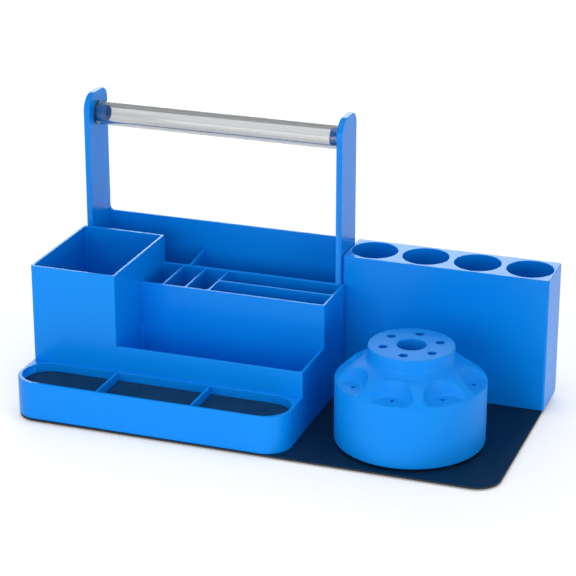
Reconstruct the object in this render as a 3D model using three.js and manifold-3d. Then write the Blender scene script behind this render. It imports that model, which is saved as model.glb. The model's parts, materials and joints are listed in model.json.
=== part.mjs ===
// A modular desk organizer on a magnetic base board: a caddy with a clear carrying handle, a block with four
// deep round sockets, and a round turret that turns on its own base. Disc magnets hold each module down.
// Millimetres, +Z up, +X along the board, +Y towards the back.
import * as THREE from "three";
import { mergeVertices } from "three/addons/utils/BufferGeometryUtils.js";
import Module from "manifold-3d";

const wasm = await Module();
wasm.setup();

// ---------------------------------------------------------------------------------------------------------
// Driving dimensions. x is measured from the left side, y from the board's front edge, z from the table.
// ---------------------------------------------------------------------------------------------------------
const OVERALL = { width: 400, depth: 195.5 };
const PAD = { inset: 4, thick: 1 };
const BOARD = { x0: 1, x1: 399, y0: 0, y1: 189, thick: 1.6, corner: 20 };
const WALL = 2.4;
const RIB = 2;
const GAP = 0.3; // running and seating gaps between separate pieces
const INNER_CORNER = 2; // radius in the vertical corners of every compartment

const CADDY = { x1: 231.5, trayFront: 1, frontWall: 46, tierFront: 98.8, tierBack: 149.5, back: 186.7 };
const CADDY_HEIGHT = { tray: 31.2, lowPocket: 52.3, tier: 88.6, cup: 112.3, backWall: 115.6, ears: 225.5 };
const CUP_RIGHT = 73.5;
const OUTER_EDGE = 2.5; // radius on the caddy's outer upright edges
const FLOOR = 4.4;
const TIER_DIVIDERS = [91.8, 111.5, 131.6]; // x of the ribs that run front to back
const SLOT_DIVIDER_Y = 123.7;
const BACK_DIVIDER = { x: 96.1, rise: 3.4 }; // its top climbs by `rise` from the tier to the back wall

const TRAY = { wall: 2.6, ledge: 2, corner: 20, floorTop: 22, floorThick: 2.4, dividers: [74.5, 154.5] };
const LINER = { thick: 2.2, clearance: 0.5 };
const TRAY_BOSSES = { x: [40, 191], y: 24, radius: 8 };

const EAR = { inset: 3.2, thick: 5, frontCorner: 14, backCorner: 10, fillet: 4 };
const HANDLE = { y: 168, z: 207, outer: 10, bore: 7 };
const PLUG = { radius: 6.8, length: 9.6, stem: 5.4, stemLength: 3, recess: 5.6, recessDepth: 6 };
const WASHER = { inner: 7.1, outer: 9.8, thick: 1 };

const BLOCK = { x0: 228.8, x1: 400, y0: 151.5, y1: 195.5, height: 112.1, corner: 2, heel: 6 };
const SOCKET = { radius: 19, pitch: 43.3, count: 4, floor: 14, tubeWall: 2.7 };
const COVER = { thick: 4, back: 187 };
const SCREW = { head: 2.8, headHeight: 1.8, shank: 1.4, length: 14, boss: 5.2, bossTop: 20 };

const MAGNET = { radius: 6, thick: 2.5 };
const CADDY_MAGNETS = [[14, 62], [217, 62], [20, 168], [211, 168]]; // [x, y] under the caddy's main floor

const TURRET = { x: 313, y: 67, radius: 59.3, lift: 1.2, bottomEdge: 1.5, wall: 2.4 };
const RIM = { top: 52, edge: 1.2 };
const SHOULDER = { r: 25, z: 24, radius: 43.96, from: 39.9, to: 72.8 }; // the arc from the rim to the neck
const NECK = { radius: 33.75, top: 79.6, edge: 1, flare: 4.5, flareZ: 71 };
const BORE = { radius: 11.5, floor: 12 };
const TOOL_HOLES = { count: 6, radius: 3.5, circle: 22.6, depth: 26 };
// Each scoop is a shallow round pocket whose flat floor slopes down to the rim; `circle` and `z` place it.
const SCOOP = { count: 8, radius: 20.4, circle: 61, z: 51.8, slope: 8, fillet: 6 };
const DRAIN = { radius: 1.7, circle: 50 };
const TURRET_SHELL = { hub: 14, cavityTop: 49.4, hubFloor: 6.8 };
const TURNTABLE = { radius: 55.5, thick: 5, magnetCircle: 40, magnets: 4 };
const BOLT = { radius: 3, head: 5.4, headHeight: 3.2, headZ: 0.6, top: 21 };
const THRUST = { inner: 3.3, outer: 13, z0: 5.15, z1: 6.65 };
const NUT = { flats: 10, z0: 13.4, z1: 18.4 };
const NUT_WASHER = { inner: 3.3, outer: 8, z0: 12.15, z1: 13.25 };

const BOARD_TOP = PAD.thick + BOARD.thick;
const EAR_LEFT = EAR.inset;
const EAR_RIGHT = CADDY.x1 - EAR.inset;

// ---------------------------------------------------------------------------------------------------------
// Materials
// ---------------------------------------------------------------------------------------------------------
const plastic = (color, roughness) => new THREE.MeshStandardMaterial({ color, roughness, metalness: 0 });
const metal = (color, roughness) => new THREE.MeshStandardMaterial({ color, roughness, metalness: 1 });
const BLUE = 0x1f86ea;
const NAVY = 0x0a2a4a;
const STEEL = 0xc4c8cc;
const CLEAR = () =>
  new THREE.MeshStandardMaterial({ color: 0xe6eaec, roughness: 0.05, transparent: true, opacity: 0.35 });

// ---------------------------------------------------------------------------------------------------------
// Geometry helpers
// ---------------------------------------------------------------------------------------------------------

// A closed geometry as a solid that can be joined and cut.
function solid(geometry) {
  const bare = new THREE.BufferGeometry();
  bare.setAttribute("position", geometry.getAttribute("position"));
  if (geometry.index) bare.setIndex(geometry.index);
  const merged = mergeVertices(bare, 1e-4);
  const triVerts = new Uint32Array(merged.index.array);
  const vertProperties = merged.attributes.position.array;
  return new wasm.Manifold(new wasm.Mesh({ numProp: 3, vertProperties, triVerts }));
}

// The solid's surface as a geometry with flat shading.
function surface(made) {
  const { vertProperties, triVerts } = made.getMesh();
  const geometry = new THREE.BufferGeometry();
  geometry.setAttribute("position", new THREE.BufferAttribute(new Float32Array(vertProperties), 3));
  geometry.setIndex(new THREE.BufferAttribute(new Uint32Array(triVerts), 1));
  geometry.computeVertexNormals();
  return geometry;
}

const join = (...solids) => solids.reduce((all, one) => all.add(one));
const cut = (body, ...tools) => tools.reduce((rest, tool) => rest.subtract(tool), body);

// A rectangle with its own radius in each corner: front left, front right, back right, back left.
function outline(x0, x1, y0, y1, [fl, fr, br, bl] = [0, 0, 0, 0]) {
  const shape = new THREE.Shape();
  shape.moveTo(x0 + fl, y0);
  shape.lineTo(x1 - fr, y0);
  if (fr) shape.absarc(x1 - fr, y0 + fr, fr, -Math.PI / 2, 0);
  shape.lineTo(x1, y1 - br);
  if (br) shape.absarc(x1 - br, y1 - br, br, 0, Math.PI / 2);
  shape.lineTo(x0 + bl, y1);
  if (bl) shape.absarc(x0 + bl, y1 - bl, bl, Math.PI / 2, Math.PI);
  shape.lineTo(x0, y0 + fl);
  if (fl) shape.absarc(x0 + fl, y0 + fl, fl, Math.PI, 1.5 * Math.PI);
  return shape;
}

// A shape in the XY plane carried up from z0 to z1.
function prism(shape, z0, z1, curveSegments = 6) {
  const geometry = new THREE.ExtrudeGeometry(shape, { depth: z1 - z0, bevelEnabled: false, curveSegments });
  return solid(geometry.translate(0, 0, z0));
}

// A shape drawn in the YZ plane carried along X from x0 to x1.
function sidePrism(shape, x0, x1, curveSegments = 8) {
  const geometry = new THREE.ExtrudeGeometry(shape, { depth: x1 - x0, bevelEnabled: false, curveSegments });
  const yzx = new THREE.Matrix4().makeBasis(
    new THREE.Vector3(0, 1, 0),
    new THREE.Vector3(0, 0, 1),
    new THREE.Vector3(1, 0, 0),
  );
  return solid(geometry.applyMatrix4(yzx).translate(x0, 0, 0));
}

// A shape drawn in the XZ plane carried along Y from y0 to y1.
function frontPrism(shape, y0, y1, curveSegments = 4) {
  const geometry = new THREE.ExtrudeGeometry(shape, { depth: y1 - y0, bevelEnabled: false, curveSegments });
  return solid(geometry.rotateX(Math.PI / 2).translate(0, y1, 0));
}

const box = (x0, x1, y0, y1, z0, z1) => prism(outline(x0, x1, y0, y1), z0, z1);

function post(x, y, z0, z1, radius, segments = 32) {
  const geometry = new THREE.CylinderGeometry(radius, radius, z1 - z0, segments);
  return solid(geometry.rotateX(Math.PI / 2).translate(x, y, (z0 + z1) / 2));
}

function rod(x0, x1, y, z, radius, segments = 32) {
  const geometry = new THREE.CylinderGeometry(radius, radius, x1 - x0, segments);
  return solid(geometry.rotateZ(Math.PI / 2).translate((x0 + x1) / 2, y, z));
}

// A profile of [radius, z] points, from the bottom of the axis to its top, turned about an upright axis.
function turned(profile, segments) {
  const points = profile.map(([radius, z]) => new THREE.Vector2(radius, z));
  return solid(new THREE.LatheGeometry(points, segments).rotateX(Math.PI / 2));
}

// Points on an arc in the [radius, z] plane, ends included.
function arc(cr, cz, radius, from, to, steps) {
  return Array.from({ length: steps + 1 }, (_, i) => {
    const angle = THREE.MathUtils.degToRad(from + ((to - from) * i) / steps);
    return [cr + radius * Math.cos(angle), cz + radius * Math.sin(angle)];
  });
}

// Points evenly round a circle, the first one on the +X side.
function ring(count, radius, start = 0) {
  return Array.from({ length: count }, (_, i) => {
    const angle = THREE.MathUtils.degToRad(start) + (2 * Math.PI * i) / count;
    return [radius * Math.cos(angle), radius * Math.sin(angle)];
  });
}

function piece(name, made, material) {
  const mesh = new THREE.Mesh(made.getMesh ? surface(made) : made, material);
  mesh.name = name;
  return mesh;
}

// ---------------------------------------------------------------------------------------------------------
// Magnets: a blind pocket opening at z0, and the disc that sits in it just above the bottom
// ---------------------------------------------------------------------------------------------------------
const magnetPocket = (x, y) => post(x, y, -1, MAGNET.thick + GAP, MAGNET.radius + GAP / 2, 20);
const magnetDisc = (x, y) => post(x, y, GAP / 2, MAGNET.thick + GAP / 2, MAGNET.radius, 20);

function magnets(prefix, places) {
  return places.map(([x, y], i) => piece(`${prefix}_magnet_${i + 1}`, magnetDisc(x, y), metal(STEEL, 0.3)));
}

// ---------------------------------------------------------------------------------------------------------
// Base board
// ---------------------------------------------------------------------------------------------------------
function baseBoard() {
  const group = new THREE.Group();
  const all = (radius) => [radius, radius, radius, radius];
  const sheet = outline(BOARD.x0, BOARD.x1, BOARD.y0, BOARD.y1, all(BOARD.corner));
  const pad = outline(
    BOARD.x0 + PAD.inset,
    BOARD.x1 - PAD.inset,
    BOARD.y0 + PAD.inset,
    BOARD.y1 - PAD.inset,
    all(BOARD.corner - PAD.inset),
  );
  group.add(piece("base_board", prism(sheet, PAD.thick, BOARD_TOP, 12), metal(NAVY, 0.45)));
  group.add(piece("base_grip_pad", prism(pad, 0, PAD.thick, 8), plastic(0x1c1d1f, 0.95)));
  return group;
}

// ---------------------------------------------------------------------------------------------------------
// Caddy
// ---------------------------------------------------------------------------------------------------------

// The dish in the top of the tray, shrunk by a clearance and cut off at two x values.
function trayDish(x0, x1, z0, z1, clearance) {
  const radius = (CADDY.frontWall - TRAY.ledge - CADDY.trayFront - TRAY.wall) / 2 - clearance;
  const dish = outline(
    TRAY.wall + clearance,
    CADDY.x1 - TRAY.wall - clearance,
    CADDY.trayFront + TRAY.wall + clearance,
    CADDY.frontWall - TRAY.ledge - clearance,
    [radius, radius, radius, radius].map((r) => r - 0.01),
  );
  const span = box(x0 + clearance, x1 - clearance, 0, CADDY.frontWall, z0, z1);
  return prism(dish, z0, z1, 10).intersect(span);
}

// The x range of each of the three dishes in the tray.
const TRAY_CELLS = [0, 1, 2].map((i) => [
  i === 0 ? -1 : TRAY.dividers[i - 1] + RIB / 2,
  i === 2 ? CADDY.x1 + 1 : TRAY.dividers[i] - RIB / 2,
]);

function compartment(x0, x1, y0, y1, top) {
  const corners = [INNER_CORNER, INNER_CORNER, INNER_CORNER, INNER_CORNER];
  return prism(outline(x0, x1, y0, y1, corners), FLOOR, top + 1, 3);
}

function compartments() {
  const { x1, frontWall, tierFront, tierBack, back } = CADDY;
  const height = CADDY_HEIGHT;
  const cup = compartment(WALL, CUP_RIGHT - WALL, frontWall + WALL, tierBack - WALL, height.cup);
  const lowPocket = compartment(CUP_RIGHT, x1 - WALL, frontWall + WALL, tierFront, height.lowPocket);
  const edges = [CUP_RIGHT - RIB / 2, ...TIER_DIVIDERS];
  const narrow = edges.slice(0, -1).map((left, i) =>
    compartment(left + RIB / 2, edges[i + 1] - RIB / 2, tierFront + WALL, tierBack - WALL, height.tier),
  );
  const slotLeft = TIER_DIVIDERS.at(-1) + RIB / 2;
  const slots = [
    compartment(slotLeft, x1 - WALL, tierFront + WALL, SLOT_DIVIDER_Y - RIB / 2, height.tier),
    compartment(slotLeft, x1 - WALL, SLOT_DIVIDER_Y + RIB / 2, tierBack - WALL, height.tier),
  ];
  const left = EAR_LEFT + EAR.thick;
  const right = EAR_RIGHT - EAR.thick;
  const rear = [
    compartment(left, BACK_DIVIDER.x - RIB / 2, tierBack, back - WALL, height.backWall),
    compartment(BACK_DIVIDER.x + RIB / 2, right, tierBack, back - WALL, height.backWall),
  ];
  const slope = new THREE.Shape();
  slope.moveTo(tierBack, height.tier);
  slope.lineTo(back - WALL, height.tier + BACK_DIVIDER.rise);
  slope.lineTo(back - WALL, height.backWall + 1);
  slope.lineTo(tierBack, height.backWall + 1);
  const aboveDivider = sidePrism(slope, left, right);
  return [cup, lowPocket, ...narrow, ...slots, ...rear, aboveDivider];
}

// The plate that rises from each end of the rear compartment, with round top corners.
function ear(x0) {
  const corners = [0, 0, EAR.backCorner, EAR.frontCorner];
  const side = outline(CADDY.tierBack, CADDY.back, 0, CADDY_HEIGHT.ears, corners);
  return sidePrism(side, x0, x0 + EAR.thick);
}

// The small web that rounds the angle between an ear and the top edge of the back wall.
function earWeb(x, side) {
  const z = CADDY_HEIGHT.backWall;
  const shape = new THREE.Shape();
  shape.moveTo(x - side, z - 1);
  shape.lineTo(x + side * EAR.fillet, z - 1);
  shape.lineTo(x + side * EAR.fillet, z);
  const end = side > 0 ? -Math.PI : 0;
  shape.absarc(x + side * EAR.fillet, z + EAR.fillet, EAR.fillet, -Math.PI / 2, end, side > 0);
  shape.lineTo(x - side, z + EAR.fillet);
  return frontPrism(shape, CADDY.back - WALL, CADDY.back);
}

function caddyBody() {
  const { x1, trayFront, frontWall, tierFront, tierBack, back } = CADDY;
  const height = CADDY_HEIGHT;
  const trayCorners = [TRAY.corner, TRAY.corner, 0, 0];
  const tray = prism(outline(0, x1, trayFront, frontWall + 1, trayCorners), 0, height.tray, 12);
  const cup = prism(outline(0, CUP_RIGHT, frontWall, tierBack, [OUTER_EDGE, 0.8, 0, 0]), 0, height.cup, 4);
  const low = prism(outline(CUP_RIGHT - 1, x1, frontWall, tierBack, [0, 1, 0, 0]), 0, height.lowPocket, 3);
  const tier = prism(outline(CUP_RIGHT - 1, x1, tierFront, tierBack, [0, 1, 0.8, 0]), 0, height.tier, 3);
  const rear = join(
    box(EAR_LEFT, EAR_RIGHT, tierBack, back, 0, height.backWall),
    box(EAR_LEFT, EAR_RIGHT, tierBack - 1, tierBack + 1, 0, height.tier - 1),
    box(EAR_LEFT, CUP_RIGHT - 1, tierBack - 1, tierBack + 1, 0, height.cup - 1),
  );
  const body = join(tray, cup, low, tier, rear, ear(EAR_LEFT), ear(EAR_RIGHT - EAR.thick));
  const webs = [earWeb(EAR_LEFT + EAR.thick, 1), earWeb(EAR_RIGHT - EAR.thick, -1)];

  const dishes = TRAY_CELLS.map(([left, right]) => trayDish(left, right, TRAY.floorTop, height.tray + 1, 0));
  const hollowTop = TRAY.floorTop - TRAY.floorThick;
  const hollowCorner = TRAY.corner - WALL;
  const hollowCorners = [hollowCorner, hollowCorner, 0, 0];
  const hollowOutline = outline(WALL, x1 - WALL, trayFront + WALL, frontWall, hollowCorners);
  const ribs = TRAY.dividers.map((x) => box(x - RIB / 2, x + RIB / 2, 0, frontWall + 1, 0, hollowTop + 1));
  const bosses = TRAY_BOSSES.x.map((x) => post(x, TRAY_BOSSES.y, 0, hollowTop + 1, TRAY_BOSSES.radius));
  const hollow = cut(prism(hollowOutline, -1, hollowTop, 10), ...ribs, ...bosses);

  const pockets = caddyMagnetPlaces().map(([x, y]) => magnetPocket(x, y));
  const seatDepth = PLUG.stemLength + GAP;
  const leftFace = EAR_LEFT + EAR.thick;
  const rightFace = EAR_RIGHT - EAR.thick;
  const seats = [
    rod(leftFace - seatDepth, leftFace + 1, HANDLE.y, HANDLE.z, PLUG.stem + GAP / 2),
    rod(rightFace - 1, rightFace + seatDepth, HANDLE.y, HANDLE.z, PLUG.stem + GAP / 2),
  ];
  return cut(join(cut(body, ...compartments()), ...webs), ...dishes, hollow, ...pockets, ...seats);
}

function caddyMagnetPlaces() {
  return [...CADDY_MAGNETS, ...TRAY_BOSSES.x.map((x) => [x, TRAY_BOSSES.y])];
}

function trayLiners() {
  return ["left", "middle", "right"].map((side, i) => {
    const [left, right] = TRAY_CELLS[i];
    const liner = trayDish(left, right, TRAY.floorTop, TRAY.floorTop + LINER.thick, LINER.clearance);
    return piece(`tray_liner_${side}`, liner, plastic(NAVY, 0.9));
  });
}

// A plug: a stem that seats in the ear, and a cupped spigot that carries the end of the handle tube.
function handlePlug(earFace, side) {
  const ends = (a, b) => [Math.min(a, b), Math.max(a, b)];
  const stem = rod(...ends(earFace - side * PLUG.stemLength, earFace + side), HANDLE.y, HANDLE.z, PLUG.stem);
  const spigotStart = earFace + side * (GAP / 2);
  const tip = earFace + side * PLUG.length;
  const spigot = rod(...ends(spigotStart, tip), HANDLE.y, HANDLE.z, PLUG.radius, 48);
  const recess = rod(...ends(tip - side * PLUG.recessDepth, tip + side), HANDLE.y, HANDLE.z, PLUG.recess, 40);
  return cut(join(stem, spigot), recess);
}

function handleWasher(earFace, side) {
  const ends = [earFace + side * (GAP / 2), earFace + side * (GAP / 2 + WASHER.thick)].sort((a, b) => a - b);
  const disc = rod(...ends, HANDLE.y, HANDLE.z, WASHER.outer, 48);
  return cut(disc, rod(ends[0] - 1, ends[1] + 1, HANDLE.y, HANDLE.z, WASHER.inner, 48));
}

function handle() {
  const leftFace = EAR_LEFT + EAR.thick;
  const rightFace = EAR_RIGHT - EAR.thick;
  const endGap = GAP / 2 + WASHER.thick + GAP;
  const tubeBody = rod(leftFace + endGap, rightFace - endGap, HANDLE.y, HANDLE.z, HANDLE.outer, 48);
  const tubeBore = rod(leftFace, rightFace, HANDLE.y, HANDLE.z, HANDLE.bore, 48);
  return [
    piece("handle_tube", cut(tubeBody, tubeBore), CLEAR()),
    piece("handle_plug_left", handlePlug(leftFace, 1), plastic(BLUE, 0.5)),
    piece("handle_plug_right", handlePlug(rightFace, -1), plastic(BLUE, 0.5)),
    piece("handle_washer_left", handleWasher(leftFace, 1), plastic(0x24405c, 0.7)),
    piece("handle_washer_right", handleWasher(rightFace, -1), plastic(0x24405c, 0.7)),
  ];
}

function caddy() {
  const group = new THREE.Group();
  group.add(piece("caddy_body", caddyBody(), plastic(BLUE, 0.5)));
  group.add(...trayLiners(), ...handle(), ...magnets("caddy", caddyMagnetPlaces()));
  group.position.z = BOARD_TOP;
  return group;
}

// ---------------------------------------------------------------------------------------------------------
// Socket block: a casing with four deep round sockets, closed underneath by a screwed cover with magnets
// ---------------------------------------------------------------------------------------------------------
const BLOCK_MIDDLE = { x: (BLOCK.x0 + BLOCK.x1) / 2, y: (BLOCK.y0 + BLOCK.y1) / 2 };
const SOCKETS_X = Array.from(
  { length: SOCKET.count },
  (_, i) => BLOCK_MIDDLE.x + SOCKET.pitch * (i - (SOCKET.count - 1) / 2),
);
const SCREW_PLACES = [-1, 1].flatMap((side) =>
  [BLOCK.y0 + 7, COVER.back - 4.5].map((y) => [BLOCK_MIDDLE.x + side * SOCKET.pitch, y]),
);
const BLOCK_MAGNETS = [-1.5, 0, 1.5].map((steps) => [
  BLOCK_MIDDLE.x + steps * SOCKET.pitch,
  BLOCK_MIDDLE.y - 3,
]);

function socketCasing() {
  const { x0, x1, y0, y1, height, corner, heel } = BLOCK;
  const plan = prism(outline(x0, x1, y0, y1, [corner, corner, corner, corner]), 0, height, 4);
  const side = sidePrism(outline(y0, y1, 0, height, [0, heel, 0, 0]), x0, x1, 6);
  const lowCavity = box(x0 + WALL, x1 - WALL, y0 + WALL, COVER.back, -1, SOCKET.floor - 1);
  const highCavity = box(x0 + WALL, x1 - WALL, y0 + WALL, y1 - WALL, SOCKET.floor - 4, height - WALL);
  const tubes = SOCKETS_X.map((x) =>
    post(x, BLOCK_MIDDLE.y, SOCKET.floor - WALL, height, SOCKET.radius + SOCKET.tubeWall, 48),
  );
  const bosses = SCREW_PLACES.map(([x, y]) =>
    post(x, y, COVER.thick + GAP, SCREW.bossTop + WALL, SCREW.boss, 20),
  );
  const cavity = cut(join(lowCavity, highCavity), ...tubes, ...bosses);
  const sockets = SOCKETS_X.map((x) => post(x, BLOCK_MIDDLE.y, SOCKET.floor, height + 1, SOCKET.radius, 56));
  const pilots = SCREW_PLACES.map(([x, y]) => post(x, y, 0, SCREW.bossTop, SCREW.shank + GAP / 2, 16));
  return cut(plan.intersect(side), cavity, ...sockets, ...pilots);
}

function socketCover() {
  const edge = WALL + GAP;
  const plate = box(BLOCK.x0 + edge, BLOCK.x1 - edge, BLOCK.y0 + edge, COVER.back - GAP, 0, COVER.thick);
  const pockets = BLOCK_MAGNETS.map(([x, y]) => magnetPocket(x, y));
  const heads = SCREW_PLACES.map(([x, y]) =>
    post(x, y, -1, SCREW.headHeight + 2 * GAP, SCREW.head + GAP, 20),
  );
  const shanks = SCREW_PLACES.map(([x, y]) => post(x, y, -1, COVER.thick + 1, SCREW.shank + GAP / 2, 16));
  return cut(plate, ...pockets, ...heads, ...shanks);
}

function coverScrew([x, y]) {
  const head = post(x, y, GAP, GAP + SCREW.headHeight, SCREW.head, 20);
  const shank = post(x, y, GAP + 1, SCREW.length, SCREW.shank, 16);
  const drive = post(x, y, -1, GAP + 1, 1, 6);
  return cut(join(head, shank), drive);
}

function socketBlock() {
  const group = new THREE.Group();
  group.add(piece("socket_block", socketCasing(), plastic(BLUE, 0.5)));
  group.add(piece("socket_block_cover", socketCover(), plastic(BLUE, 0.6)));
  SCREW_PLACES.forEach((place, i) =>
    group.add(piece(`cover_screw_${i + 1}`, coverScrew(place), metal(STEEL, 0.35))),
  );
  group.add(...magnets("block", BLOCK_MAGNETS));
  group.position.z = BOARD_TOP;
  return group;
}

// ---------------------------------------------------------------------------------------------------------
// Turret: a shell that spins on a bolt standing in a turntable base
// ---------------------------------------------------------------------------------------------------------
function turretShell() {
  const { radius, lift, bottomEdge, wall } = TURRET;
  const profile = [
    [0, lift],
    ...arc(radius - bottomEdge, lift + bottomEdge, bottomEdge, -90, 0, 3),
    ...arc(radius - RIM.edge, RIM.top - RIM.edge, RIM.edge, 0, 50, 2),
    ...arc(SHOULDER.r, SHOULDER.z, SHOULDER.radius, SHOULDER.from, SHOULDER.to, 6),
    ...arc(NECK.radius + NECK.flare, NECK.flareZ, NECK.flare, 250, 180, 3),
    ...arc(NECK.radius - NECK.edge, NECK.top - NECK.edge, NECK.edge, 0, 90, 2),
    [0, NECK.top],
  ];
  const cavity = cut(
    post(0, 0, -1, TURRET_SHELL.cavityTop, radius - wall, 64),
    post(0, 0, TURRET_SHELL.hubFloor, TURRET_SHELL.cavityTop + 1, TURRET_SHELL.hub, 40),
  );
  const bore = post(0, 0, BORE.floor, NECK.top + 1, BORE.radius, 40);
  const boltHole = post(0, 0, 0, BORE.floor + 1, BOLT.radius + GAP, 24);
  const toolHoles = ring(TOOL_HOLES.count, TOOL_HOLES.circle, 30).map(([x, y]) =>
    post(x, y, NECK.top - TOOL_HOLES.depth, NECK.top + 1, TOOL_HOLES.radius, 20),
  );
  const scoop = scoopCutter();
  const scoops = ring(SCOOP.count, 1).map((_, i) => scoop.rotate([0, 0, (360 * i) / SCOOP.count]));
  const drains = ring(SCOOP.count, DRAIN.circle).map(([x, y]) =>
    post(x, y, TURRET_SHELL.cavityTop - 1, NECK.top, DRAIN.radius, 12),
  );
  return cut(turned(profile, 64), cavity, bore, boltHole, ...toolHoles, ...scoops, ...drains);
}

// A round cutter with a filleted foot, tilted outwards so that it leaves a floor that slopes to the rim.
function scoopCutter() {
  const { radius, fillet, circle, z, slope } = SCOOP;
  const profile = [[0, 0], ...arc(radius - fillet, fillet, fillet, -90, 0, 4), [radius, 30], [0, 30]];
  return turned(profile, 40).rotate([0, slope, 0]).translate([circle, 0, z]);
}

function turntable() {
  const { radius, thick, magnetCircle } = TURNTABLE;
  const disc = turned(
    [[0, 0], ...arc(radius - 1, 1, 1, -90, 0, 2), ...arc(radius - 1, thick - 1, 1, 0, 90, 2), [0, thick]],
    64,
  );
  const head = post(0, 0, -1, BOLT.headZ + BOLT.headHeight + GAP, BOLT.head + GAP, 24);
  const hole = post(0, 0, -1, thick + 1, BOLT.radius + GAP / 2, 24);
  const pockets = ring(TURNTABLE.magnets, magnetCircle, 45).map(([x, y]) => magnetPocket(x, y));
  return cut(disc, head, hole, ...pockets);
}

function turretBolt() {
  const head = post(0, 0, BOLT.headZ, BOLT.headZ + BOLT.headHeight, BOLT.head, 24);
  const shank = post(0, 0, BOLT.headZ + 1, BOLT.top, BOLT.radius, 24);
  const drive = post(0, 0, 0, BOLT.headZ + 1.6, 2.5, 6);
  return cut(join(head, shank), drive);
}

const flatRing = ({ inner, outer, z0, z1 }) =>
  cut(post(0, 0, z0, z1, outer, 40), post(0, 0, z0 - 1, z1 + 1, inner, 24));

function lockNut() {
  const hexagon = post(0, 0, NUT.z0, NUT.z1, NUT.flats / Math.sqrt(3), 6);
  return cut(hexagon, post(0, 0, NUT.z0 - 1, NUT.z1 + 1, BOLT.radius + GAP / 2, 24));
}

function turret() {
  const group = new THREE.Group();
  group.add(piece("turret_body", turretShell(), plastic(BLUE, 0.5)));
  group.add(piece("turret_base", turntable(), plastic(0x0d1420, 0.7)));
  group.add(piece("turret_bolt", turretBolt(), metal(STEEL, 0.35)));
  group.add(piece("turret_thrust_washer", flatRing(THRUST), plastic(0xe9e6da, 0.6)));
  group.add(piece("turret_nut_washer", flatRing(NUT_WASHER), metal(STEEL, 0.35)));
  group.add(piece("turret_lock_nut", lockNut(), metal(STEEL, 0.35)));
  group.add(...magnets("turret", ring(TURNTABLE.magnets, TURNTABLE.magnetCircle, 45)));
  group.position.set(TURRET.x, TURRET.y, BOARD_TOP);
  return group;
}

// ---------------------------------------------------------------------------------------------------------
// The whole organizer, with its origin under the middle of its footprint
// ---------------------------------------------------------------------------------------------------------
const assembly = new THREE.Group();
assembly.add(baseBoard(), caddy(), socketBlock(), turret());
assembly.position.set(-OVERALL.width / 2, -OVERALL.depth / 2, 0);

const organizer = new THREE.Group();
organizer.add(assembly);

export default organizer;
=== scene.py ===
# %% [markdown]
# # A modular desk organizer
# A thin coated-steel board carries three moulded modules, each held down by disc magnets: a stepped caddy
# with a clear carrying bar, a block with four deep round sockets, and a round turret that turns. The solids
# come packed from the CAD step, one for each real piece. This lesson gives them rounded edges, finer shapes
# where a faceted solid isn't enough, and materials that are worked out by nodes.

import json
import math

import bmesh
import bpy
from mathutils import Matrix, Vector

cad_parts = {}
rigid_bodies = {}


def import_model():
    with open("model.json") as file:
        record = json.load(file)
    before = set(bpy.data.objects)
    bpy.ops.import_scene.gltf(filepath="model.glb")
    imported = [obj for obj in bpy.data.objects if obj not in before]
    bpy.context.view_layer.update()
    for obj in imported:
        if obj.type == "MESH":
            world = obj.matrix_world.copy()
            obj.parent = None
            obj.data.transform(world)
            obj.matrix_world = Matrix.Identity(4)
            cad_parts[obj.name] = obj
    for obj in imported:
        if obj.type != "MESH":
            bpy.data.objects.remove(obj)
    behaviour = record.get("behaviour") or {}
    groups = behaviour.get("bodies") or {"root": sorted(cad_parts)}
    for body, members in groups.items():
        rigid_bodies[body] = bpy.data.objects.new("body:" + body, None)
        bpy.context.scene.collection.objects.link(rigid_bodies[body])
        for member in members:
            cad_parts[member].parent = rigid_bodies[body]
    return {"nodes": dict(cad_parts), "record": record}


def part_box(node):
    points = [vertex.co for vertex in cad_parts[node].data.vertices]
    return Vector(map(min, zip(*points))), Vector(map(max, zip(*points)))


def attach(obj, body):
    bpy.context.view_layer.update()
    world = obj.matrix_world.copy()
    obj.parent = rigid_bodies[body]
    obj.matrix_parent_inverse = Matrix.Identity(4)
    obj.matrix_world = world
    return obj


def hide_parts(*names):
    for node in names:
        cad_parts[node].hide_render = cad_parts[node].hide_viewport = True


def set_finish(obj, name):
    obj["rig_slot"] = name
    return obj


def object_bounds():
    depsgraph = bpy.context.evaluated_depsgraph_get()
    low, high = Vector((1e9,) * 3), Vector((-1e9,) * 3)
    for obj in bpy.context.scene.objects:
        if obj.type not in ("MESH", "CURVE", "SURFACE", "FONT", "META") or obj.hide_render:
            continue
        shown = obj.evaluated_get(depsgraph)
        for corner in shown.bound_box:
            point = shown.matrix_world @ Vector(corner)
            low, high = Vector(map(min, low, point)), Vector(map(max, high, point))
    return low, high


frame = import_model()
cad_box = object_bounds()
MM = 0.001
print("pieces from CAD:", len(frame["nodes"]))

# %% [markdown]
# ## Two ways to make a piece
# Most of the organizer is straight walls and flat floors, and the CAD solids already have those in the right
# places. What they lack is the small radius that every moulded edge has, and that radius is what catches the
# light along each rim. So the first way is a merged copy of the solid with its outward edges bevelled.
#
# Round pieces look better spun from a profile with many steps, so the second way starts from a few points
# and turns them about an axis.
#
# Both ways end alike. The mesh becomes an object that rides on the body it moves with, and stands for its
# CAD solids.

# %% Hand a mesh over as a finished piece
SHARP_TURN = math.radians(40)


def finished(bm, name, body, slot, *nodes):
    """The bmesh as an object that rides on a body and stands for its CAD nodes."""
    mesh = bpy.data.meshes.new(name)
    bm.to_mesh(mesh)
    bm.free()
    mesh.shade_smooth()
    mesh.set_sharp_from_angle(angle=SHARP_TURN)
    piece = bpy.data.objects.new(name, mesh)
    bpy.context.scene.collection.objects.link(piece)
    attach(piece, body)
    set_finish(piece, slot)
    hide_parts(*nodes)
    print(f"{name}: {len(mesh.polygons)} faces")
    return piece


def level_shading(piece):
    """Large flat faces keep their own direction, so only the rounded edges between them shade smoothly."""
    weighted = piece.modifiers.new("level shading", "WEIGHTED_NORMAL")
    weighted.keep_sharp = True
    weighted.weight = 100


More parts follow.
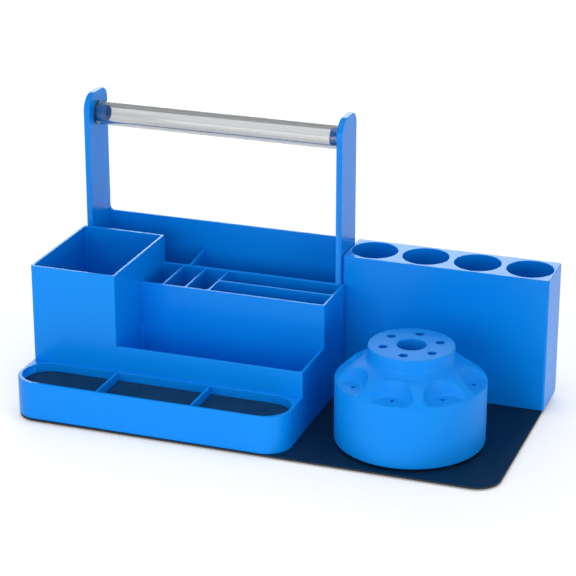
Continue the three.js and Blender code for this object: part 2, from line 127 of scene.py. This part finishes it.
# %% [markdown]
# ## Softened solids
# A CAD solid arrives as loose triangles. Joining their corners, and dissolving the lines that cross each flat
# face, leaves one closed surface whose edges are the real ones. Only the edges that stand outwards are
# bevelled. An inward corner catches little light, so a bevel there would add faces and hardly show.

# %% A softened copy of a CAD solid
JOINED = 0.004 * MM
FLAT_TURN = math.radians(0.7)
EDGE_TURN = math.radians(38)


def merged_copy(node):
    """A CAD node's loose triangles, joined into one closed surface with whole flat faces."""
    bm = bmesh.new()
    bm.from_mesh(frame["nodes"][node].data)
    bmesh.ops.remove_doubles(bm, verts=bm.verts, dist=JOINED)
    bmesh.ops.dissolve_degenerate(bm, dist=JOINED, edges=bm.edges)
    bmesh.ops.dissolve_limit(
        bm,
        angle_limit=FLAT_TURN,
        use_dissolve_boundaries=False,
        verts=bm.verts,
        edges=bm.edges,
        delimit=set(),
    )
    return bm


def stands_out(edge):
    return edge.is_manifold and edge.is_convex and edge.calc_face_angle() > EDGE_TURN


def soften(bm, radius, steps):
    """Bevels the edges that stand outwards."""
    bmesh.ops.bevel(
        bm,
        geom=[edge for edge in bm.edges if stands_out(edge)],
        offset=radius,
        offset_type="OFFSET",
        segments=steps,
        profile=0.5,
        affect="EDGES",
        clamp_overlap=False,
        material=-1,
    )
    return bm


def softened(node, name, body, slot, radius, steps=2):
    """A CAD solid with its outward edges rounded, as a finished piece. The radius is in millimetres."""
    level_shading(finished(soften(merged_copy(node), radius * MM, steps), name, body, slot, node))


# %% [markdown]
# ## The board
# A steel sheet, cut out and powder coated, with a thin rubber sheet under it. The sheet's edge is only a
# millimetre and a half high, but its tiny radius shows as a fine line of light along the front, so it gets a
# small bevel.

# %% Board and grip pad
softened("base_board", "board", body="board", slot="board_navy", radius=0.35)
softened("base_grip_pad", "grip_pad", body="board", slot="grip_black", radius=0.25)

# %% [markdown]
# ## The caddy
# One moulding with thin walls. All of its rims have a radius of about half a millimetre, which the mould
# needs and the hand feels. Bevelling the outward edges of the merged solid rounds every rim, ear and divider
# at once, and leaves the inward corners of the pockets as they are.

# %% Caddy body
softened("caddy_body", "caddy", body="caddy", slot="body_blue", radius=0.5, steps=3)

# %% [markdown]
# ## The tray's liners
# Three soft foam mats lie in the tray's wells. A knife-cut mat has a crisp but not sharp edge, so its bevel
# is smaller than the moulding's.

# %% Tray liners
for side in ("left", "middle", "right"):
    softened(f"tray_liner_{side}", f"{side}_liner", body="caddy", slot="liner_navy", radius=0.35)

# %% [markdown]
# ## Spun pieces
# A turned piece is drawn as half of its section: points given as a distance from the axis and a height. The
# section goes once round the axis, and points that lie on the axis meet there. It is always drawn upright at
# the origin, which keeps the numbers plain, and then moved to its place.


# %% A piece spun from a profile
def arc(centre, radius, start, end, steps):
    """Points on an arc, ends included, as (distance from the axis, height) pairs. Angles are in degrees."""
    angles = [math.radians(start + (end - start) * i / steps) for i in range(steps + 1)]
    return [(centre[0] + radius * math.cos(a), centre[1] + radius * math.sin(a)) for a in angles]


def on_axis(pair):
    return all(corner.co.x < 0.0001 * MM for corner in pair)


def spun(profile, steps):
    """A closed profile of (distance, height) pairs in millimetres, turned about an upright axis."""
    bm = bmesh.new()
    corners = [bm.verts.new((distance * MM, 0, height * MM)) for distance, height in profile]
    sides = zip(corners, corners[1:] + corners[:1])
    edges = [bm.edges.new(pair) for pair in sides if not on_axis(pair)]
    bmesh.ops.spin(
        bm,
        geom=corners + edges,
        cent=(0, 0, 0),
        axis=(0, 0, 1),
        steps=steps,
        angle=2 * math.pi,
        use_merge=True,
        use_duplicate=False,
    )
    bmesh.ops.remove_doubles(bm, verts=bm.verts, dist=0.001 * MM)
    bmesh.ops.recalc_face_normals(bm, faces=bm.faces)
    return bm


def placed(bm, place, turn=None):
    """Moves a bmesh to its place, after a turn if there is one."""
    matrix = Matrix.Translation(place) @ (turn or Matrix.Identity(4))
    bmesh.ops.transform(bm, matrix=matrix, verts=bm.verts)
    return bm


# %% [markdown]
# ## The carrying bar
# A clear tube runs between the ears and turns on a plug at each end. Clear plastic shows every facet of its
# inner and outer walls at once, so it is spun with many steps. Its cut ends have a broken edge.

# %% Clear tube
SIDEWAYS = Matrix.Rotation(math.pi / 2, 4, "Y")
TUBE_WALL = 3.0
BROKEN = 0.4
tube_low, tube_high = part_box("handle_tube")
tube_middle = (tube_low + tube_high) / 2
tube_outer = (tube_high.z - tube_low.z) / 2 / MM
tube_inner = tube_outer - TUBE_WALL
tube_half = (tube_high.x - tube_low.x) / 2 / MM
tube_profile = [
    (tube_inner + BROKEN, -tube_half),
    (tube_outer - BROKEN, -tube_half),
    (tube_outer, -tube_half + BROKEN),
    (tube_outer, tube_half - BROKEN),
    (tube_outer - BROKEN, tube_half),
    (tube_inner + BROKEN, tube_half),
    (tube_inner, tube_half - BROKEN),
    (tube_inner, -tube_half + BROKEN),
]
tube_bm = placed(spun(tube_profile, steps=128), tube_middle, SIDEWAYS)
finished(tube_bm, "clear_tube", "handle", "tube_clear", "handle_tube")
print("tube:", round(2 * tube_outer, 1), "mm across,", round(2 * tube_half, 1), "mm long")

# %% [markdown]
# Each plug is a turned piece: a stem that seats in the ear, and a cupped spigot with one shallow groove that
# the tube turns on. It shows through the tube, so it has its real shape rather than a plain cylinder. The
# washer beside it is a flat ring, which the first way makes well enough.

# %% Plugs and washers
STEM, STEM_LENGTH = 5.4, 3.15
GROOVE = 0.35
CUP_RADIUS, CUP_DEPTH = 5.6, 6.0
NOSE_ROUND, LIP_ROUND, CUP_ROUND = 0.5, 0.3, 0.8


def plug(side, nose_towards):
    """A plug whose nose points along +X or -X, inside the box of its CAD node."""
    low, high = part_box(f"handle_plug_{side}")
    length = (high.x - low.x) / MM
    radius = (high.z - low.z) / 2 / MM
    profile = [
        (0, 0),
        (STEM - 0.4, 0),
        (STEM, 0.4),
        (STEM, STEM_LENGTH),
        (radius, STEM_LENGTH),
        (radius, STEM_LENGTH + 3.0),
        (radius - GROOVE, STEM_LENGTH + 3.4),
        (radius - GROOVE, STEM_LENGTH + 4.2),
        (radius, STEM_LENGTH + 4.6),
        *arc((radius - NOSE_ROUND, length - NOSE_ROUND), NOSE_ROUND, 0, 90, 3),
        *arc((CUP_RADIUS + LIP_ROUND, length - LIP_ROUND), LIP_ROUND, 90, 180, 3),
        *arc((CUP_RADIUS - CUP_ROUND, length - CUP_DEPTH + CUP_ROUND), CUP_ROUND, 0, -90, 4),
        (0, length - CUP_DEPTH),
    ]
    turn = Matrix.Rotation(nose_towards * math.pi / 2, 4, "Y")
    start = Vector((low.x if nose_towards > 0 else high.x, (low.y + high.y) / 2, (low.z + high.z) / 2))
    plug_bm = placed(spun(profile, steps=96), start, turn)
    finished(plug_bm, f"{side}_plug", "caddy", "body_blue", f"handle_plug_{side}")


plug("left", 1)
plug("right", -1)
for side in ("left", "right"):
    softened(f"handle_washer_{side}", f"{side}_washer", body="caddy", slot="washer_navy", radius=0.2)

# %% [markdown]
# ## The socket block
# A hollow casing with four tube sockets. Its sharp places are the top face's border and the four mouths, and
# a radius there gives each mouth the pale ring that a moulded socket shows.

# %% Socket block
softened("socket_block", "block", body="block", slot="body_blue", radius=0.6, steps=3)
softened("socket_block_cover", "block_cover", body="block", slot="body_blue", radius=0.3)

# %% [markdown]
# ## The turret
# A shell of revolution with eight scoops pressed into its sloping shoulder. The shell is spun from one closed
# profile. The scoops have soft borders that no bevel gives cleanly, so the shoulder is spun with close rings
# and each of its points is lowered to the scoop's own surface, with a rounded blend where the two surfaces
# meet. All heights are measured from the top of the board, in millimetres.

# %% Turret profile
FOOT, FOOT_ROUND = 1.2, 1.5
WALL = 2.4
HUB_RADIUS, HUB_FOOT, BOLT_HOLE = 14.0, 6.8, 3.3
CEILING = 49.4
RIM_TOP, RIM_ROUND = 52.0, 1.2
SHOULDER_CENTRE, SHOULDER_RADIUS = (25, 24), 43.96
NECK_RADIUS, NECK_FILLET, NECK_FOOT = 33.75, 4.5, 71
TOP_ROUND = 1.0
HOLE_CIRCLE = 22.6
BORE_RADIUS, BORE_ROUND, BORE_FLOOR = 11.5, 0.6, 12
turret_low, turret_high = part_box("turret_body")
turret_axis = Vector(((turret_low.x + turret_high.x) / 2, (turret_low.y + turret_high.y) / 2, 0))
turret_radius = (turret_high.x - turret_low.x) / 2 / MM
base_z = turret_low.z / MM - FOOT
turret_top = turret_high.z / MM - base_z
turret_profile = [
    (BOLT_HOLE, HUB_FOOT),
    (HUB_RADIUS, HUB_FOOT),
    (HUB_RADIUS, CEILING),
    (turret_radius - WALL, CEILING),
    (turret_radius - WALL, FOOT + 0.4),
    (turret_radius - WALL + 0.4, FOOT),
    *arc((turret_radius - FOOT_ROUND, FOOT + FOOT_ROUND), FOOT_ROUND, -90, 0, 5),
    (turret_radius, 20),
    (turret_radius, 36),
    *arc((turret_radius - RIM_ROUND, RIM_TOP - RIM_ROUND), RIM_ROUND, 0, 48, 5),
    *arc(SHOULDER_CENTRE, SHOULDER_RADIUS, 39.9, 72.8, 64),
    *arc((NECK_RADIUS + NECK_FILLET, NECK_FOOT), NECK_FILLET, 250, 180, 8),
    (NECK_RADIUS, 75),
    *arc((NECK_RADIUS - TOP_ROUND, turret_top - TOP_ROUND), TOP_ROUND, 0, 90, 4),
    (HOLE_CIRCLE, turret_top),
    (BORE_RADIUS + BORE_ROUND, turret_top),
    *arc((BORE_RADIUS + BORE_ROUND, turret_top - BORE_ROUND), BORE_ROUND, 90, 180, 3)[1:],
    (BORE_RADIUS, 46),
    (BORE_RADIUS, BORE_FLOOR),
    (BOLT_HOLE, BORE_FLOOR),
]
turret_bm = spun(turret_profile, steps=384)
print("turret:", round(2 * turret_radius, 1), "mm across,", len(turret_bm.verts), "points")

# %% [markdown]
# A scoop's surface is a height for each place on the plan: a floor that rises gently inwards, a fillet, then
# a steep wall. The rounded blend is the usual smooth minimum of two heights.

# %% Heights of a scoop
SCOOPS = 8
SCOOP_RADIUS = 19.9
SCOOP_CENTRE = 61.0
SCOOP_FILLET = 6.0
SCOOP_FLOOR = 51.8
SCOOP_RISE = math.tan(math.radians(8))
WALL_SLOPE = 4.0


def scoop_height(x, y):
    """The height of the nearest scoop's surface over a place on the turret's plan, in millimetres."""
    sector = 2 * math.pi / SCOOPS
    angle = math.atan2(y, x)
    angle -= sector * round(angle / sector)
    radius = math.hypot(x, y)
    along = radius * math.cos(angle) - SCOOP_CENTRE
    across = radius * math.sin(angle)
    out = math.hypot(along, across)
    height = SCOOP_FLOOR - along * SCOOP_RISE
    turn = out - (SCOOP_RADIUS - SCOOP_FILLET)
    if turn <= 0:
        return height
    # The fillet runs up to where it is as steep as the wall, and the wall goes straight on from there.
    meet = SCOOP_FILLET * WALL_SLOPE / math.hypot(1, WALL_SLOPE)
    bend = min(turn, meet)
    height += SCOOP_FILLET - math.sqrt(SCOOP_FILLET**2 - bend**2)
    return height + WALL_SLOPE * (turn - bend)


def blended(a, b, width):
    """The smaller of two heights, rounded over where they cross."""
    share = max(width - abs(a - b), 0) / width
    return min(a, b) - share * share * width / 4


# %% [markdown]
# Only points on the sloping shoulder are lowered. A small margin keeps the neck, the rim and the outer wall
# as they were spun, so the scoops end cleanly where those begin.

# %% Press the scoops
BLEND = 0.7
NECK_MARGIN, WALL_MARGIN, RIM_MARGIN = 0.3, 0.2, 0.4
LEAST_PRESS = 0.05
pressed = 0
for point in turret_bm.verts:
    x, y, z = (value / MM for value in point.co)
    on_shoulder = NECK_RADIUS + NECK_MARGIN < math.hypot(x, y) < turret_radius - WALL_MARGIN
    if on_shoulder and z > RIM_TOP - RIM_MARGIN:
        lowered = blended(z, scoop_height(x, y), BLEND)
        pressed += lowered < z - LEAST_PRESS
        point.co.z = min(z, lowered) * MM
print("points pressed into scoops:", pressed)

# %% [markdown]
# The six tool holes in the top and the drain hole in each scoop are plain drilled holes. Each is a round
# cutter that widens a little at the mouth, and one exact cut takes them all out of the shell together.


# %% Cutting holes
def cut_out(bm, cutters):
    """The bmesh with the cutters' shapes taken out of it."""
    halves = []
    for name, source in (("part", bm), ("cutters", cutters)):
        mesh = bpy.data.meshes.new(name)
        source.to_mesh(mesh)
        source.free()
        halves.append(bpy.data.objects.new(name, mesh))
        bpy.context.scene.collection.objects.link(halves[-1])
    part, tool = halves
    boolean = part.modifiers.new("holes", "BOOLEAN")
    boolean.operation = "DIFFERENCE"
    boolean.solver = "EXACT"
    boolean.object = tool
    bpy.context.view_layer.update()
    result = bmesh.new()
    result.from_object(part, bpy.context.evaluated_depsgraph_get())
    for done in halves:
        bpy.data.meshes.remove(done.data)
    return result


def ring(count, circle, first=0):
    """Places spread evenly round a circle, as (x, y) pairs in metres. The first is at `first` degrees."""
    angles = [math.radians(first + 360 / count * i) for i in range(count)]
    return [(circle * MM * math.cos(angle), circle * MM * math.sin(angle)) for angle in angles]


def drill(bm, place, bottom, top, radius, mouth, steps):
    """Adds one round cutter to a bmesh. Its upper end widens over the last `mouth` millimetres."""
    wide = radius + 2 * mouth
    profile = [(0, bottom), (radius, bottom), (radius, top - mouth), (wide, top + mouth), (0, top + mouth)]
    cutter = placed(spun(profile, steps), (*place, 0))
    loose = bpy.data.meshes.new("cutter")
    cutter.to_mesh(loose)
    cutter.free()
    bm.from_mesh(loose)
    bpy.data.meshes.remove(loose)


# %% [markdown]
# The tool holes stand in a ring round the bore and stop a few millimetres above the hollow inside the shell.
# The drain holes go right through to that hollow, so their cutters start below its ceiling and end at the
# scoop's floor.

# %% Drill the turret
TOOL_HOLES, HOLE_RADIUS, HOLE_DEPTH = 6, 3.5, 26
DRAIN_CIRCLE, DRAIN_RADIUS, DRAIN_BOTTOM = 50, 1.7, 48
drain_top = scoop_height(DRAIN_CIRCLE, 0)
cutters = bmesh.new()
for place in ring(TOOL_HOLES, HOLE_CIRCLE, first=30):
    drill(cutters, place, turret_top - HOLE_DEPTH, turret_top, HOLE_RADIUS, mouth=0.3, steps=32)
for place in ring(SCOOPS, DRAIN_CIRCLE):
    drill(cutters, place, DRAIN_BOTTOM, drain_top, DRAIN_RADIUS, mouth=0.2, steps=20)
turret_bm = cut_out(turret_bm, cutters)
placed(turret_bm, turret_axis + Vector((0, 0, base_z * MM)))
finished(turret_bm, "turret", "turret", "turret_blue", "turret_body")

# %% [markdown]
# The turntable is a low dark disc that stays still while the turret turns above it. Little of it shows, so a
# softened copy of its solid is enough.

# %% Turntable
softened("turret_base", "turntable", body="turntable", slot="base_dark", radius=0.25)

# %% [markdown]
# ## Shader maths
# A material here is a small sum: a base colour, a little variation over the surface, and a grain that the
# light picks out. One class wraps a socket, so that the sums read as ordinary Python, and one method makes
# any other node.


# %% A wire
class Wire:
    """An output socket of a finish's node tree, with arithmetic on it."""

    def __init__(self, finish, socket):
        self.finish, self.socket = finish, socket

    def maths(self, operation, *values):
        return self.finish.node("ShaderNodeMath", {"operation": operation}, dict(enumerate(values)))

    def root(self):
        return self.maths("SQRT", self)

    def __abs__(self):
        return self.maths("ABSOLUTE", self)

    def __add__(self, other):
        return self.maths("ADD", self, other)

    def __sub__(self, other):
        return self.maths("SUBTRACT", self, other)

    def __rsub__(self, other):
        return self.maths("SUBTRACT", other, self)

    def __mul__(self, other):
        return self.maths("MULTIPLY", self, other)

    def __gt__(self, other):
        return self.maths("GREATER_THAN", self, other)

    def clipped(self, low, high):
        """This value scaled so that low becomes 0 and high becomes 1, and held between them."""
        inputs = {"Value": self, "From Min": low, "From Max": high}
        return self.finish.node("ShaderNodeMapRange", {"clamp": True}, inputs)

    __radd__ = __add__
    __rmul__ = __mul__


# %% [markdown]
# A finish is one Principled shader. What stays the same all over goes straight on its sockets, and what
# varies is linked as a wire. Every pattern is laid out on the piece's own coordinates, so it moves with the
# piece when a joint moves.


# %% A finish
class Finish:
    """A material with one Principled BSDF. Constants go on its sockets, and wires are linked to them."""

    def __init__(self, name, **constants):
        self.material = bpy.data.materials.new(name)
        self.material.use_nodes = True
        self.tree = self.material.node_tree
        self.shader = self.tree.nodes["Principled BSDF"]
        self.put(self.shader, self.named(constants))

    def named(self, values):
        """Keys such as base_color as the shader's own socket names."""
        sockets = {socket.name.lower().replace(" ", "_"): socket.name for socket in self.shader.inputs}
        return {sockets[key]: value for key, value in values.items()}

    def put(self, node, inputs):
        for key, value in inputs.items():
            socket = node.inputs[key]
            if isinstance(value, Wire):
                self.tree.links.new(value.socket, socket)
            elif hasattr(socket.default_value, "__len__") and len(socket.default_value) == 4:
                socket.default_value = (*value, 1)
            else:
                socket.default_value = value

    def node(self, kind, settings, inputs, out=0):
        """Any node: its type, its settings, which are set first, and its sockets' values or wires."""
        made = self.tree.nodes.new(kind)
        for key, value in settings.items():
            setattr(made, key, value)
        self.put(made, inputs)
        return Wire(self, made.outputs[out])

    def place(self, stretch=(1, 1, 1)):
        """The point's place on the piece, in metres."""
        coordinates = self.node("ShaderNodeTexCoord", {}, {}, out="Object")
        return self.node("ShaderNodeMapping", {}, {"Vector": coordinates, "Scale": stretch})

    def axis(self, name):
        """One coordinate of the point's place, in metres."""
        return self.node("ShaderNodeSeparateXYZ", {}, {"Vector": self.place()}, out=name)

    def noise(self, per_metre, detail, stretch=(1, 1, 1), roughness=0.5):
        place = self.place(stretch)
        inputs = {"Vector": place, "Scale": per_metre, "Detail": detail, "Roughness": roughness}
        return self.node("ShaderNodeTexNoise", {}, inputs)

    def mix(self, amount, first, second):
        """Two colours mixed. The node has sockets for every kind of value: its colours are 6, 7 and out 2."""
        return self.node("ShaderNodeMix", {"data_type": "RGBA"}, {0: amount, 6: first, 7: second}, out=2)

    def bump(self, height, strength, millimetres):
        inputs = {"Height": height, "Strength": strength, "Distance": millimetres * MM}
        return self.node("ShaderNodeBump", {}, inputs)

    def done(self, **wires):
        self.put(self.shader, self.named(wires))
        print("finish:", self.material.name, "-", len(self.tree.nodes), "nodes")
        return self.material


# %% [markdown]
# ## Satin blue plastic
# The modules are moulded in a strong blue with a fine satin texture from the mould. The colour is nearly
# even, with a slow drift where the melt flowed, and paler flecks and scuffs so faint that they only keep it
# from looking flat. The grain is about half a millimetre, and the polish changes a little from place to
# place, which breaks up the broad reflections. The turret is more matt, so it has a finish of its own.


# %% Blue plastic
def satin_blue(name, polish):
    """The blue moulding. A low polish value gives a glossier face."""
    finish = Finish(name, specular_ior_level=0.15, ior=1.5)
    drift = finish.noise(7, 3)
    flecks = finish.noise(900, 2).clipped(0.35, 0.75)
    scuffs = finish.noise(90, 4, (1, 0.25, 1), 0.65).clipped(0.56, 0.74)
    deep, bright, worn = (0.0002, 0.222, 0.765), (0.0006, 0.252, 0.83), (0.008, 0.30, 0.85)
    colour = finish.mix(drift.clipped(0.3, 0.7), deep, bright)
    colour = finish.mix(flecks * 0.10 + scuffs * 0.03, colour, worn)
    polish = polish + drift * 0.05 + scuffs * 0.03 + flecks * 0.03
    grain = finish.noise(1700, 2) * 0.6 + finish.noise(520, 1) * 0.4
    return finish.done(base_color=colour, roughness=polish, normal=finish.bump(grain, 0.16, 0.12))


BLUE = satin_blue("satin blue plastic", 0.22)
TURRET_BLUE = satin_blue("matt blue plastic", 0.42)

# %% [markdown]
# ## Coated steel
# Powder coat flows as it bakes into a low, slightly wavy skin, known as orange peel. The sheet's cut edge is
# thinly covered and shows browner than the flat.


# %% Navy board
def navy_coat():
    finish = Finish("navy coated steel", specular_ior_level=0.2, coat_weight=0.05, coat_roughness=0.25)
    drift = finish.noise(5, 3)
    flecks = finish.noise(1400, 2).clipped(0.45, 0.75)
    colour = finish.mix(drift.clipped(0.3, 0.7), (0.0008, 0.0125, 0.033), (0.0016, 0.017, 0.043))
    colour = finish.mix(flecks * 0.25, colour, (0.005, 0.034, 0.08))
    facing = finish.node("ShaderNodeTexCoord", {}, {}, out="Normal")
    upward = finish.node("ShaderNodeSeparateXYZ", {}, {"Vector": facing}, out="Z")
    edge = 1 - abs(upward).clipped(0.2, 0.6)
    colour = finish.mix(edge, colour, (0.035, 0.028, 0.024))
    smudges = finish.noise(28, 4).clipped(0.4, 0.75)
    polish = 0.34 + smudges * 0.12
    peel = finish.noise(420, 2) * 0.6 + finish.noise(1500, 1) * 0.4
    return finish.done(base_color=colour, roughness=polish, normal=finish.bump(peel, 0.15, 0.15))


NAVY = navy_coat()

# %% [markdown]
# ## Foam liners
# A closed-cell foam is a crowd of small skins, so it scatters light evenly and has no polish. Small cells
# come from a Voronoi pattern, with painted shade in the low grooves between them, and a slower noise dapples
# the colour.


# %% Liner foam
def liner_foam():
    finish = Finish("navy foam", roughness=0.92, specular_ior_level=0.05)
    cells = finish.node(
        "ShaderNodeTexVoronoi", {"feature": "F1"}, {"Vector": finish.place(), "Scale": 1300}
    )
    dapple = finish.noise(60, 3).clipped(0.3, 0.7)
    colour = finish.mix(dapple, (0.005, 0.044, 0.118), (0.009, 0.060, 0.150))
    # Painted shade: the colour darkens towards the cells' borders, where the bump is lowest.
    colour = finish.mix(cells.clipped(0.3, 0.9) * 0.35, colour, (0.002, 0.016, 0.05))
    return finish.done(base_color=colour, normal=finish.bump(1 - cells, 0.45, 0.25))


FOAM = liner_foam()

# %% [markdown]
# ## Clear tube
# Acrylic bends light a little less than glass does, and drawn tube keeps faint lines along its length. They
# are too fine to see one by one and only soften the reflections, so they go into the roughness. The tube's
# outer skin is slightly smoky, and its bore is clear: the skin is wherever the surface lies further from the
# tube's axis than the middle of the wall. The smoky skin is streaked lengthwise with painted light and dark
# bands, which stand in for the reflections and refractions in the tube's walls.


# %% Clear acrylic
def clear_acrylic():
    finish = Finish("clear acrylic", transmission_weight=1.0, ior=1.49)
    across = finish.axis("Y") - tube_middle.y
    upwards = finish.axis("Z") - tube_middle.z
    distance = (across * across + upwards * upwards).root()
    skin = distance > (tube_outer + tube_inner) / 2 * MM
    lines = finish.noise(700, 2, (0.02, 1, 1)).clipped(0.35, 0.8)
    rubbed = finish.noise(45, 3).clipped(0.5, 0.8)
    # Painted light and dark bands along the tube, standing in for the reflections and refractions in its
    # walls. They tint only the smoky outer skin.
    painted_bands = finish.noise(230, 1, (0.002, 1, 1)).clipped(0.3, 0.7)
    smoky_with_painted_bands = finish.mix(painted_bands, (0.49, 0.493, 0.496), (0.64, 0.642, 0.644))
    colour = finish.mix(skin, (0.98, 0.98, 0.98), smoky_with_painted_bands)
    polish = 0.03 + lines * 0.05 + rubbed * 0.04
    return finish.done(base_color=colour, roughness=polish, normal=finish.bump(lines, 0.05, 0.05))


ACRYLIC = clear_acrylic()

# %% [markdown]
# ## The hidden pieces
# Magnets, screws and the bolt are seen only from below or with a module lifted. They still get a plated,
# brushed or moulded finish, with a fine grain in the roughness.


# %% Metals and small mouldings
def plated(name, colour, roughness, lines):
    finish = Finish(name, metallic=1.0)
    brush = finish.noise(lines, 3, (1, 1, 0.06)).clipped(0.3, 0.75)
    stain = finish.noise(120, 3).clipped(0.45, 0.8)
    shade = finish.mix(stain * 0.3, colour, tuple(0.6 * part for part in colour))
    polish = roughness + brush * 0.15
    return finish.done(base_color=shade, roughness=polish, normal=finish.bump(brush, 0.08, 0.05))


def moulded(name, dark, light, roughness, grain):
    finish = Finish(name)
    drift = finish.noise(25, 3).clipped(0.3, 0.7)
    texture = finish.noise(grain, 2)
    return finish.done(
        base_color=finish.mix(drift, dark, light),
        roughness=roughness + texture * 0.12,
        normal=finish.bump(texture, 0.25, 0.12),
    )


FINISHES = {
    "body_blue": BLUE,
    "turret_blue": TURRET_BLUE,
    "board_navy": NAVY,
    "liner_navy": FOAM,
    "tube_clear": ACRYLIC,
    "grip_black": moulded("black rubber", (0.012, 0.012, 0.013), (0.022, 0.022, 0.024), 0.8, 900),
    "washer_navy": moulded("navy washer", (0.006, 0.022, 0.06), (0.01, 0.03, 0.08), 0.5, 900),
    "base_dark": moulded("dark turntable", (0.004, 0.007, 0.013), (0.007, 0.012, 0.02), 0.55, 700),
    "nylon": moulded("natural nylon", (0.72, 0.7, 0.6), (0.8, 0.78, 0.7), 0.45, 600),
    "steel": plated("zinc plated steel", (0.56, 0.57, 0.58), 0.25, 900),
    "magnet": plated("nickel plated magnet", (0.62, 0.61, 0.59), 0.16, 400),
}

# %% [markdown]
# Every piece names the slot of its material, so one table of finishes covers them all. The CAD solids take
# theirs from the record, and the new pieces from the slot they were given.

# %% Put each finish on its pieces
slot_of = {part["node"]: part["material_slot"] for part in frame["record"]["subparts"]}
for name, node in frame["nodes"].items():
    node.data.materials.clear()
    node.data.materials.append(FINISHES[slot_of[name]])
for piece in bpy.context.scene.objects:
    if piece.type == "MESH" and "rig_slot" in piece:
        piece.data.materials.append(FINISHES[piece["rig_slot"]])
print("finishes:", len(FINISHES))

# %% [markdown]
# ## Floor
# The organizer stands on a pale sheet that runs out of sight. A trace of its own light keeps it nearly white
# without washing out the soft shadow at the foot of each module.

# %% Floor
FLOOR_SIZE = 30
FLOOR_GAP = 0.0002


def pale_floor():
    white = (1, 1, 1)
    finish = Finish(
        "pale floor", roughness=0.9, specular_ior_level=0.1, emission_color=white, emission_strength=0.2
    )
    cloud = finish.noise(3, 2)
    return finish.done(base_color=finish.mix(cloud, (0.88, 0.88, 0.88), (0.91, 0.91, 0.91)))


floor_bm = bmesh.new()
bmesh.ops.create_grid(floor_bm, x_segments=2, y_segments=2, size=FLOOR_SIZE)
bmesh.ops.translate(floor_bm, vec=(0, 0, cad_box[0][2] - FLOOR_GAP), verts=floor_bm.verts)
floor_mesh = bpy.data.meshes.new("floor")
floor_bm.to_mesh(floor_mesh)
floor_bm.free()
floor = bpy.data.objects.new("floor", floor_mesh)
floor_mesh.materials.append(pale_floor())
bpy.context.scene.collection.objects.link(floor)

# %% [markdown]
# ## Room light
# A soft, bright room lights every side a little, with the faint coolness of daylight. It is kept below half
# strength, so that the lamps still shape the modules.

# %% World
DAYLIGHT = (0.985, 0.99, 1.0, 1)
ROOM_STRENGTH = 0.46
world = bpy.data.worlds.new("soft room")
world.use_nodes = True
sky = world.node_tree.nodes["Background"]
sky.inputs["Color"].default_value = DAYLIGHT
sky.inputs["Strength"].default_value = ROOM_STRENGTH
bpy.context.scene.world = world

# %% [markdown]
# ## Lamps
# A broad lamp stands low in front and a little to the left, so the fronts are the brightest faces and those
# further back fall away. A second one at the right lifts the end faces, and a large one overhead reaches into
# the pockets. A wide panel behind the organizer shows only as a reflection, where it turns the tops and rims
# pale. The camera sees none of them. The panel isn't seen through the clear tube either, where it would turn
# the wall white.


# %% Lights
def panel(name, place, aim, size, power, colour=(1, 1, 1)):
    """A rectangular soft light at a place, turned towards an aim point. Size is (width, height) in metres."""
    light = bpy.data.lights.new(name, "AREA")
    light.shape = "RECTANGLE"
    light.size, light.size_y = size
    light.energy = power
    light.color = colour
    lamp = bpy.data.objects.new(name, light)
    lamp.location = place
    lamp.rotation_euler = (Vector(aim) - Vector(place)).to_track_quat("-Z", "Y").to_euler()
    lamp.visible_camera = False
    bpy.context.scene.collection.objects.link(lamp)
    return lamp


panel("front light", place=(-0.14, -0.72, 0.23), aim=(-0.05, 0, 0.0), size=(0.6, 0.36), power=2.0)
panel("side light", place=(1.15, -0.62, 0.22), aim=(0, 0, 0.02), size=(0.6, 0.4), power=3.1)
panel("top light", place=(0.1, -0.1, 1.6), aim=(0, 0, 0), size=(1.2, 1.0), power=8)
back_panel = panel(
    "back panel",
    place=(-0.75, 2.4, 0.98),
    aim=(0, 0, 0.1),
    size=(3.0, 0.84),
    power=37,
    colour=(0.88, 0.97, 1.0),
)
back_panel.visible_transmission = False

# %% [markdown]
# ## Camera
# A long lens, well back, above the right-hand front corner. It is aimed by its own turn rather than at a
# target, so that the frame stays level.

# %% Camera
LENS, SENSOR = 133.6, 36.0
CAMERA_PLACE = (0.5329, -1.4920, 0.7176)
TILTED_DOWN, TURNED_LEFT = 21.21, 19.62
lens = bpy.data.cameras.new("camera")
lens.lens, lens.sensor_width = LENS, SENSOR
lens.clip_end = 100
camera = bpy.data.objects.new("camera", lens)
camera.location = CAMERA_PLACE
camera.rotation_euler = (math.radians(90 - TILTED_DOWN), 0, math.radians(TURNED_LEFT))
bpy.context.scene.collection.objects.link(camera)
bpy.context.scene.camera = camera
bpy.context.scene.view_settings.view_transform = "Standard"
bpy.context.scene.view_settings.look = "None"
print("camera is", round(camera.location.length, 2), "m from the board's middle")
